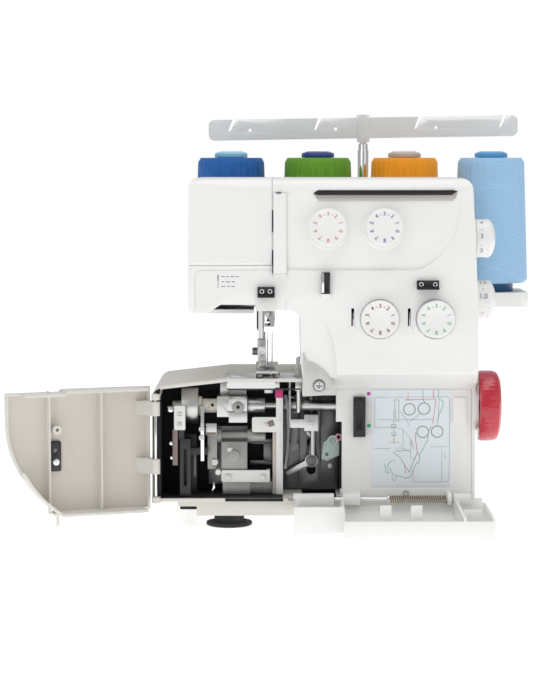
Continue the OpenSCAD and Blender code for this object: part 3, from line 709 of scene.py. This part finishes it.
# %% Letters and the face of a dial
def letters(text, size, spot, tilt, spin, mat):
    bpy.ops.object.select_all(action="DESELECT")
    bpy.ops.object.text_add(location=at(*spot))
    obj = bpy.context.object
    obj.data.body = text
    obj.data.size = size / 1000
    obj.data.align_x = "CENTER"
    obj.data.align_y = "CENTER"
    obj.data.extrude = 0.00008
    obj.data.offset = size * 0.000018
    obj.data.resolution_u = 4
    obj.rotation_mode = "ZYX"
    obj.rotation_euler = (math.radians(90 - tilt), 0, math.radians(spin))
    bpy.ops.object.convert(target="MESH")
    obj = apply_place(bpy.context.object)
    obj.data.materials.append(mat)
    return clean(obj, 1e-7)


def face_point(x, y, z, tilt, radius, angle, out):
    """A point on a tilted dial face, given by radius and angle from the right-hand side."""
    a, t = math.radians(angle), math.radians(90 - tilt)
    across, up = radius * math.cos(a), radius * math.sin(a)
    return (x + across, y + up * math.cos(t) - out * math.sin(t), z + up * math.sin(t) + out * math.cos(t))


print("a number 12 mm above a dial's centre:", face_point(0, 0, 0, 0, 12, 90, 0))

# %% [markdown]
# ## Tension dials
# Each of the four dials is a turned knob with a low rim and 48 fine notches for grip. It sits on a round
# boss of the housing. The numbers 0 to 9 go round the face, 36 degrees apart with 3 at the top, and a
# dash marks each half step beside it.

# %% Knobs, bosses and numbers
DIALS = [("dial_needle_left", 44.1, 6.4, 277.6, 9), ("dial_needle_right", 95.3, 6.4, 277.6, 9),
         ("dial_looper_upper", 91.4, 0.3, 195.2, 3.5), ("dial_looper_lower", 142.3, 0.3, 195.2, 3.5)]
KNOB = [(0.01, -10.4), (15.2, -10.4), (15.6, -10.6), (16.3, -10.5), (17, -9.9), (17.3, -9), (17.3, -1.4),
        (17, -0.9), (0.01, -0.9)]
BOSS = [(0.01, 3), (20, 3), (19.7, 0.6), (19.2, -0.2), (18.4, -0.6), (0.01, -0.6)]
NUMBER_SIZE, NUMBER_RADIUS, NUMBER_OUT = 5.0, 12.0, 10.45
SCALE = [(str(number), number) for number in range(10)] + [("-", 2.5), ("-", 3.5)]
for (node, x, y, z, tilt), mat in zip(DIALS, INKS):
    knob = lathe("v_" + node, KNOB, (x, y, z), axis="y", steps=96)
    notches = []
    for step in range(48):
        notch = box("notch", x - 0.2, x + 0.2, y - 8, y - 2, z + 17.15, z + 17.9)
        notches.append(turned(notch, x, y, z, 7.5 * step, "Y"))
    cut(knob, join(notches, "notches"))
    place(turned(knob, x, y, z, tilt), body_of_node(node), DIAL, [node])
    boss = lathe(node + "_boss", BOSS, (x, y, z), axis="y", steps=96)
    place(turned(boss, x, y, z, tilt), "machine", WHITE)
    marks = []
    for text, value in SCALE:
        angle = 90 + 36 * (value - 3)
        spot = face_point(x, y, z, tilt, NUMBER_RADIUS, angle, NUMBER_OUT)
        marks.append(letters(text, NUMBER_SIZE, spot, tilt, angle - 90, mat))
    place(join(marks, node + "_numbers"), body_of_node(node))
print("tension dials:", len(DIALS))

# %% [markdown]
# ## Rim scales
# The two side dials show their setting on the rim, so only the numbers that face the front are made. A
# small dot stands between each pair.

# %% Numbers on the rims
RIM_RADIUS = 17.56
STITCH_SCALE = [("4", 57, 6), ("3", 8, 6), ("2", -38, 6), (".", 34, 7), (".", -14, 7)]
FEED_SCALE = [("1.3", 66, 5.6), ("1.0", 12.5, 6.6), (".", 43, 8), (".", -36, 8)]
RIMS = [("stitch_length_dial", 186.2, 267.4, STITCH_SCALE), ("differential_dial", 188.0, 210.8, FEED_SCALE)]
for node, x, z, scale in RIMS:
    marks = []
    for text, angle, size in scale:
        a = math.radians(angle)
        spot = (x, SIDE_Y - RIM_RADIUS * math.cos(a), z + RIM_RADIUS * math.sin(a))
        marks.append(letters(text, size, spot, angle, 0, MARK_GREY))
    place(join(marks, node + "_numbers"), body_of_node(node))
print("numbered rims:", len(RIMS))

# %% [markdown]
# ## Marks on the head
# The face cover carries a small needle sign and three short rows of print, shown here as plain dashes.
# Print has almost no height, but a real edge holds at any distance, and a texture would blur. So each
# stroke is a thin bar that starts under the surface.

# %% Strokes
def strokes(name, paths, width, lo, hi):
    """Thin bars along open paths in the x, z plane."""
    bars = []
    for path in paths:
        for (ax, az), (bx, bz) in zip(path[:-1], path[1:]):
            long = math.hypot(bx - ax, bz - az)
            ux, uz = (bx - ax) / long * width / 2, (bz - az) / long * width / 2
            outline = [(ax - ux - uz, az - uz + ux), (bx + ux - uz, bz + uz + ux),
                       (bx + ux + uz, bz + uz - ux), (ax - ux + uz, az - uz - ux)]
            bars.append(slab("bar", outline, lo, hi))
    return join(bars, name)


needle = strokes("needle_mark", [[(-56, 235), (-56, 231)]], 1.3, -0.08, 0.3)
shaft = strokes("needle_mark_shaft", [[(-56, 231), (-56, 223.5)]], 0.6, -0.08, 0.3)
DASH_GAP = 2.3
rows = []
for z, lengths in ((234, (2.2, 1.2, 3, 1.6)), (229.2, (1.4, 3.6, 2.2)), (225, (2.8, 1.6, 2.2))):
    x = -52.5
    for length in lengths:
        rows.append([(x, z), (x + length, z)])
        x += length + DASH_GAP
dashes = strokes("row_marks", rows, 0.95, -0.06, 0.3)
place(lean(join([needle, shaft, dashes], "head_marks"), LOWER), "machine", MARK_GREY)
print("dashes:", len(rows))

# %% [markdown]
# ## Slots and guides on the head
# The take-up slot and the two thread slots are dark: near-black plates stand for the shade in the
# openings, with a thin spring at one side and a plug below. A metal band with a black top edge runs across
# the head above the dials, and small eyes lead the threads.

# %% Take-up slot and face strip
# The slits are near-black plates: painted shade in the slot openings.
slits = [slab("slit", [(4.7, 274.3), (7.6, 294.3), (10, 294.3), (10, 274.3)], -6.6, -5.6, axis="x"),
         slab("slit", [(-0.6, 237), (1.4, 252), (2.3, 258), (8, 258), (8, 237)], -6.6, -5.6, axis="x"),
         box("slot", -3, 1.5, 8.3, 9.5, 309.3, 310.4)]
place(join(slits, "head_slots"), "machine", BLACK_AND_SHADE)
place(strokes("take_up_lines", [[(-5.2, 236.4), (6.2, 236.4)]], 0.35, -0.75, -0.4), "machine", MARK_GREY)
strip = slab("strip", rounded(-22, -2, 202.5, 226.5, 2.5), -0.4, 0.6)
place(bevel(lean(strip, LOWER), 0.3), "machine", WHITE_IN)
print("slits:", len(slits))

# %% Thread slots, band and eyes
for x in (66.8, 118.3):
    spring = box("slot_spring", x + 0.1, x + 0.8, -0.3, 3, 189, 201)
    place(bevel(spring, 0.15), "machine", CHROME)
    plug = slab("slot_plug", rounded(x - 2.4, x + 2.8, 184, 189, 1.8), -0.9, 2)
    place(bevel(plug, 0.4), "machine", WHITE)
band = slab("band", [(36, 302.8), (158, 303.2), (161, 306), (161.8, 310.4), (31.4, 308.8), (34, 305)],
            -0.8, 0.4)
place(bevel(lean(band, UPPER), 0.2), "machine", BAND)
line = slab("band_top", [(30.6, 309.2), (36, 311.2), (158, 312.8), (162.6, 311.6), (158, 309.6), (36, 308.2)],
            -1.9, -0.6)
place(bevel(lean(line, UPPER), 0.2), "machine", BLACKED)
EYE_SECTION = [(1.3, -4), (2.1, -4), (2.1, -3.1), (1.3, -3.1)]
hooks = []
for x, z in ((128.9, 227.2), (141.5, 227.2), (-16, 220.8), (-8.6, 220.8)):
    hooks.append(lathe("eye", EYE_SECTION, (x, 0, z), axis="y", steps=32))
hooks.append(box("clip_edge", 38.5, 40.5, -3, -2.4, 219.5, 237.8))
place(bevel(join(hooks, "guide_eyes"), 0.12), "machine", CHROME)
place(bevel(box("clip_foot", 38, 46.6, -3.2, 1, 214.6, 218.4), 0.6), "machine", WHITE)
# A near-black plate: painted shade in the clip's hole.
place(bevel(box("clip_hole", 40.8, 43.6, -3, -0.5, 218.6, 221.6), 0.2), "machine", BLACK_AND_SHADE)
print("eyes and clip edge:", len(hooks))

# %% [markdown]
# ## Threading chart
# The film on the panel shows the machine's outline and four thread paths. Each path is a list of corner
# points in millimetres, drawn with the same strokes as the print on the head, one piece for each colour.

# %% Outline of the drawing
CHART_Y = 21.4
GREY_PATHS = [
    [(88.2, 93), (88.2, 121.2), (155.3, 121.8), (157.3, 119.9), (157.3, 44.5), (155.4, 42.3), (124, 42.3),
     (124, 53.7)],
    [(88.2, 93), (107.2, 93), (112.6, 92.2), (118, 87.3), (122.3, 80.8), (124, 73.2)],
    [(91.4, 100.3), (105.5, 100.3)], [(111.5, 100.3), (141.9, 100.6)], [(88.2, 73.2), (102.8, 73.7)],
    [(139.7, 75), (156, 75)], [(108.2, 73.2), (111.5, 74.3), (121.3, 71.6)], [(150.5, 72.2), (150.5, 42.3)],
    [(114.5, 90.6), (114.5, 74.9)], [(121.3, 80.8), (121.3, 64.6), (126.1, 63.3)],
    [(121.3, 80.8), (124, 73.8)], [(111.5, 107.9), (117.5, 100.9), (120.2, 94.9)],
    [(129.9, 105.8), (122.9, 100.1), (120.2, 99)], [(153.2, 70), (153.2, 64.6), (154.9, 64.6)],
    [(103.9, 47.2), (106.6, 42.9), (108.8, 47.2)], [(147.8, 118.8), (146.7, 99.3)]]
DARK_PATHS = [
    [(106.3, 118.8), (110.4, 118.8), (110.4, 99.3), (107.8, 99.3), (106.3, 118.8)],
    [(105.9, 109.6), (105.9, 97.1)],
    [(103.9, 95.8), (107.8, 95.8), (107.8, 93.6), (103.9, 93.6), (103.9, 95.8)],
    [(105.9, 93.6), (105.9, 78.4)], [(104.1, 88.4), (104.1, 85.6), (107.4, 85.6), (107.4, 88.4)],
    [(105, 70), (111.5, 65.4), (120.2, 51.3)], [(127.8, 70), (120.2, 51.3)],
    [(107.2, 70.9), (115.8, 71.7), (121, 70.9)], [(132.6, 128), (132.6, 119.2), (134.8, 116.1)],
    [(127.8, 70), (129.9, 65.4), (129.4, 60.2), (127.2, 60.2), (124, 53.7), (121.3, 47), (116.9, 45.6)]]
place(strokes("chart_grey", GREY_PATHS, 0.34, CHART_Y, CHART_Y + 0.2), "machine", MARK_GREY)
place(strokes("chart_dark", DARK_PATHS, 0.5, CHART_Y, CHART_Y + 0.2), "machine", MARK_GREY)
print("outline paths:", len(GREY_PATHS + DARK_PATHS))

# %% Thread paths, dials and dots
RED_PATHS = [[(142.4, 128), (142.4, 120.7), (144.7, 118.6), (141.9, 97.1)],
             [(126.1, 88.4), (126.1, 80.8), (127.8, 70.2)], [(116.9, 118.6), (141.9, 119.7)],
             [(115.8, 58.1), (116.9, 50.5)]]
GREEN_PATHS = [[(147.1, 128), (147.1, 119.9), (151.2, 117.5), (151.2, 113.4), (147.5, 104.7), (145.7, 96)],
               [(140.2, 94.4), (138.1, 89.3), (137, 80.8), (129.9, 67.8)],
               [(97.4, 59.1), (98.5, 51.5), (101.2, 50.5), (99.6, 57), (102.8, 61.3), (107.2, 62.4)],
               [(101.7, 55.9), (105.5, 48.8), (110.4, 47.8), (116.9, 46.1)]]
ORANGE_PATHS = [[(118.9, 128), (118.9, 118.6)], [(101.2, 79.7), (111.5, 78.9)],
                [(115.8, 119.2), (122.3, 118.8)]]
for name, paths, mat in (("chart_red", RED_PATHS, MARK_RED), ("chart_green", GREEN_PATHS, MARK_GREEN),
                         ("chart_orange", ORANGE_PATHS, MARK_ORANGE)):
    place(strokes(name, paths, 0.45, CHART_Y, CHART_Y + 0.2), "machine", mat)
RING = [(4.9, CHART_Y - 0.02), (5.8, CHART_Y - 0.02), (5.8, CHART_Y + 0.2), (4.9, CHART_Y + 0.2)]
rings = []
for x, z in ((120.2, 110.1), (133.7, 110.7), (132.6, 89), (146, 89.3)):
    rings.append(lathe("ring", RING, (x, 0, z), axis="y", steps=40))
place(join(rings, "chart_rings"), "machine", MARK_GREY)
DOT = [(0.01, 21.7), (1.5, 21.7), (1.8, 21.8), (1.8, 22.3), (0.01, 22.3)]
for name, x, z, mat in (("purple_dot", 82.5, 124.5, PURPLE), ("green_dot", 82.9, 94.7, MARK_GREEN)):
    place(lathe(name, DOT, (x, 0, z), axis="y", steps=28), "machine", mat)
print("thread paths:", len(RED_PATHS + GREEN_PATHS + ORANGE_PATHS))

# %% [markdown]
# ## Bay lining
# The open bay is dark inside, because the frame behind the mechanism is black and little light gets in.
# Thin near-black plates line its walls as painted shade, without touching the mechanism.

# %% Dark linings as painted shade
# Near-black sheets stand for the shade in the bay and behind the opening under the head.
linings = [box("back", -109.4, 56, 65.2, 65.6, 29.4, 129), box("left", -109.8, -109.4, 9, 65.6, 29.4, 122),
           box("floor", -109.4, 3, 10, 65.6, 29.02, 29.35), box("top", -109.4, 3, 62, 65.6, 122, 129),
           box("under", -92, -76.8, 15, 148, 17.6, 20.4), box("head", -66, -24, 81, 83, 204.5, 240)]
rim = [(-116.2, 31), (-109.5, 31), (-109.5, 131), (-112, 130.2), (-114.6, 128.2), (-116.2, 124)]
linings.append(slab("rim", rim, 5.8, 6.2))
linings.append(box("lip", -50, 3.4, 5.8, 6.2, 26.4, 29.4))
place(join(linings, "bay_shade_linings"), "machine", BLACK_AND_SHADE)
print("linings:", len(linings))

# %% [markdown]
# ## Feet
# Four round rubber feet spread the weight and stop the machine from walking. One section is spun at each
# place: a wide sole with a soft edge, and a neck that goes up into the base.

# %% Rubber feet
FOOT = [(0.01, 0), (20, 0), (21.3, 0.8), (21.5, 2), (21, 3.2), (17, 4.2), (14.2, 4.8), (14, 6), (14, 11.7),
        (0.01, 11.7)]
feet = []
for x, y in ((-47, 36), (150, 44), (-47, 130), (150, 130)):
    feet.append(lathe("foot", FOOT, (x, y, 0), steps=72))
place(join(feet, "v_rubber_feet"), "machine", RUBBER, ["rubber_feet"])
print("feet:", len(feet))

# %% [markdown]
# ## Mechanism details
# Small brackets, links and screws fill the bay round the shaft. They are bevelled boxes, plates and rods
# that stay clear of the moving pieces, and they ride with the machine body unless they sit on a piece
# that moves.

# %% Brackets, bars and links
def fitted(obj, mat, width=0.3, body="machine"):
    details.append(place(bevel(obj, width), body, mat))


details = []
fitted(box("white_block", -97.2, -86.8, 12.2, 14, 91.8, 114.2), WHITE_IN, 0.5)
fitted(box("thin_link", -72.9, -69.8, 19.3, 20.3, 62, 113.2), CHROME, 0.25)
fitted(box("bracket_left", -55.4, -46.6, 44, 60, 121.2, 132.5), STEEL)
WEDGE = [(-46.6, 121.2), (-31, 121.2), (-31, 126), (-36, 129.5), (-46.6, 132)]
fitted(slab("bracket_mid", WEDGE, 40, 60), CAST)
fitted(slab("plate_edge", rounded(-48.6, -3, 131, 137.2, 2.4), 5.8, 8), WHITE_IN)
fitted(box("shadow_line", -48, 20, 5.9, 8, 129.6, 131), BLACK)
fitted(box("frame_bar_a", -27.5, -3.8, 50, 58, 74, 79), DARK)
fitted(box("frame_bar_b", -27.5, -3.8, 50, 58, 54.5, 58.4), DARK)
fitted(box("frame_bar_c", -15, -5, 48, 58, 58, 75), DARK)
fitted(box("cream_strip", -6.4, -3.3, 30, 32, 29.6, 90), DARK_BEIGE_AND_SHADE)
fitted(box("dark_plate", -92, -77, 36, 38, 29.6, 85), BLACK)
fitted(box("plate_line", -80.4, -78.2, 35.4, 36.2, 45, 70), DARK)
fitted(box("link_top", -68.4, -58.2, 24.5, 30, 85.4, 96.4), STEEL)
fitted(box("link_band", -68, -58.6, 24.2, 25, 85.6, 88.2), BROWN)
print("brackets, bars and links:", len(details))

# %% Shaft end, nubs and holes
fitted(rod("shaft_end", "x", -103.6, -97.6, 3.4, 24, 109.4), CHROME)
fitted(rod("side_nub_a", "y", 16, 24, 1.8, -100, 79), CHROME)
fitted(rod("side_nub_b", "y", 16, 24, 1.5, -99.6, 65.5), CHROME)
fitted(rod("lower_nub", "y", 22, 30, 2.6, -57, 51), WHITE_IN)
HOOK = [(-63.6, 31), (-62.2, 31), (-60, 36), (-60.4, 41), (-61.8, 41), (-62, 36)]
fitted(slab("small_hook", HOOK, 26, 27.5), CHROME)
# The clamp hole and the sleeve hole below are near-black discs: painted shade in each hole.
fitted(rod("clamp_hole", "y", 24.9, 25.4, 1.8, -38.4, 111.6, sides=6), BLACK_AND_SHADE, 0.05)
fitted(rod("clamp_ring", "y", 25.1, 27.4, 5.4, -38.4, 111.2), CAST, 0.4)
fitted(rod("sleeve_hole", "y", 33.0, 34.2, 1.5, -62.4, 112.6), BLACK_AND_SHADE, 0.05)
fitted(turned(box("ear_square", -10.2, -5.2, 26.3, 27.2, 93.4, 98.8), -8, 27, 96, 18, "Y"), BROWN)
# These two needle holes are near-black discs: painted shade in each hole.
fitted(rod("needle_hole_a", "y", 30.2, 31, 1.3, -10.6, 192), BLACK_AND_SHADE, 0.05, "needle_drive")
fitted(rod("needle_hole_b", "y", 30.2, 31, 1.3, -9.7, 188.2), BLACK_AND_SHADE, 0.05, "needle_drive")
fitted(rod("plate_ring", "y", 1.0, 2.3, 5.6, 36.2, 134.2), DARK)
fitted(rod("foot_knob", "x", -25.4, -20.6, 3.6, 44, 162), DARK, 0.3, "presser")
EYELET = [(1.7, 27), (3.5, 27), (3.5, 28.6), (1.7, 28.6)]
fitted(lathe("guide_ring", EYELET, (54.9, 0, 83.3), axis="y", steps=36), PINK)
fitted(rod("looper_ball", "y", 49, 51.8, 5.2, 30, 58), DARK, 0.8, "upper_looper_arm")
print("all mechanism details:", len(details))

# %% [markdown]
# ## Handwheel lines
# Three pale lines run along the wheel's rim, and two of them meet in a short curve at the outer end. Each
# is a sliver laid on top of the wheel and turned to its angle about the shaft.

# %% Pale lines on the rim
WHEEL_RADIUS = 32.6
TOP_ANGLE, LOW_ANGLE = 32.7, 44.4
lines = []
for angle, x1 in ((TOP_ANGLE, 200.4), (LOW_ANGLE, 200.4), (63, 200)):
    z = SHAFT_Z + WHEEL_RADIUS
    line = box("line", 186.4, x1, SHAFT_Y - 0.2, SHAFT_Y + 0.2, z, z + 0.52)
    lines.append(turned(line, 0, SHAFT_Y, SHAFT_Z, 90 - angle))
for step in range(6):
    angle = TOP_ANGLE + (LOW_ANGLE - TOP_ANGLE) * (step + 0.5) / 6
    z = SHAFT_Z + WHEEL_RADIUS - 1
    line = box("line", 200.2, 200.7, SHAFT_Y - 0.6, SHAFT_Y + 0.6, z, z + 1)
    lines.append(turned(line, 0, SHAFT_Y, SHAFT_Z, 90 - angle))
place(join(lines, "wheel_lines"), "spindle", DIAL)
print("slivers on the wheel:", len(lines))

# %% [markdown]
# ## Camera
# A long lens from almost two metres away keeps the machine's sides nearly straight. The camera stands a
# little above the head and looks slightly down.

# %% Camera
STAND = (0, -1930, 337)
LOOK_DOWN = 5.02
bpy.ops.object.camera_add(location=at(*STAND), rotation=(math.radians(90 - LOOK_DOWN), 0, 0))
camera = bpy.context.object
camera.name = "camera"
camera.data.sensor_width = 36
camera.data.lens = 109.339
camera.data.clip_end = 20
bpy.context.scene.camera = camera
print("lens:", round(camera.data.lens, 1), "mm")

# %% [markdown]
# ## Lights and floor
# A white object on white needs soft light from all round, with one side a little brighter, so that its
# edges still show. Large area lights give that. The floor glows faintly, so it stays as pale as the
# backdrop, and the world is brighter to the camera than it is to the object.

# %% Area lights
def area_light(name, spot, aim, size, power):
    bpy.ops.object.light_add(type="AREA", location=spot)
    lamp = bpy.context.object
    lamp.name = name
    lamp.data.size = size
    lamp.data.energy = power
    way = [a - b for a, b in zip(aim, spot)]
    flat = math.hypot(way[0], way[1])
    lamp.rotation_euler = (math.atan2(flat, -way[2]), 0, math.atan2(way[1], way[0]) - math.radians(90))
    return lamp


lamps = [area_light("key", (-1.2, -1.7, 1.4), (0, 0, 0.18), 1.5, 6.5),
         area_light("fill", (1.6, -1.4, 0.8), (0, 0, 0.18), 1.4, 3),
         area_light("top", (0.1, -0.1, 1.9), (0, 0, 0.2), 1.7, 16)]
print("lights:", len(lamps))

# %% Floor
bpy.ops.mesh.primitive_plane_add(size=8, location=(0, 0, -0.0002))
floor = bpy.context.object
floor.name = "floor"
floor_mat = bpy.data.materials.new("floor")
floor_mat.use_nodes = True
floor_surface = floor_mat.node_tree.nodes["Principled BSDF"]
floor_surface.inputs["Base Color"].default_value = (0.93, 0.93, 0.93, 1)
floor_surface.inputs["Roughness"].default_value = 0.9
floor_surface.inputs["Emission Color"].default_value = (1, 1, 1, 1)
floor_surface.inputs["Emission Strength"].default_value = 0.6
floor.data.materials.append(floor_mat)
print("floor size:", [round(side, 1) for side in floor.dimensions])

# %% World
world = bpy.data.worlds.new("studio")
world.use_nodes = True
tree = world.node_tree
soft = tree.nodes["Background"]
soft.inputs["Color"].default_value = (1, 1, 1, 1)
soft.inputs["Strength"].default_value = 0.44
backdrop = tree.nodes.new("ShaderNodeBackground")
backdrop.inputs["Color"].default_value = (1, 1, 1, 1)
backdrop.inputs["Strength"].default_value = 1.0
rays = tree.nodes.new("ShaderNodeLightPath")
mixed = tree.nodes.new("ShaderNodeMixShader")
tree.links.new(rays.outputs["Is Camera Ray"], mixed.inputs["Fac"])
tree.links.new(soft.outputs[0], mixed.inputs[1])
tree.links.new(backdrop.outputs[0], mixed.inputs[2])
tree.links.new(mixed.outputs[0], tree.nodes["World Output"].inputs["Surface"])
bpy.context.scene.world = world
bpy.context.scene.view_settings.view_transform = "Standard"
print("world nodes:", len(tree.nodes))
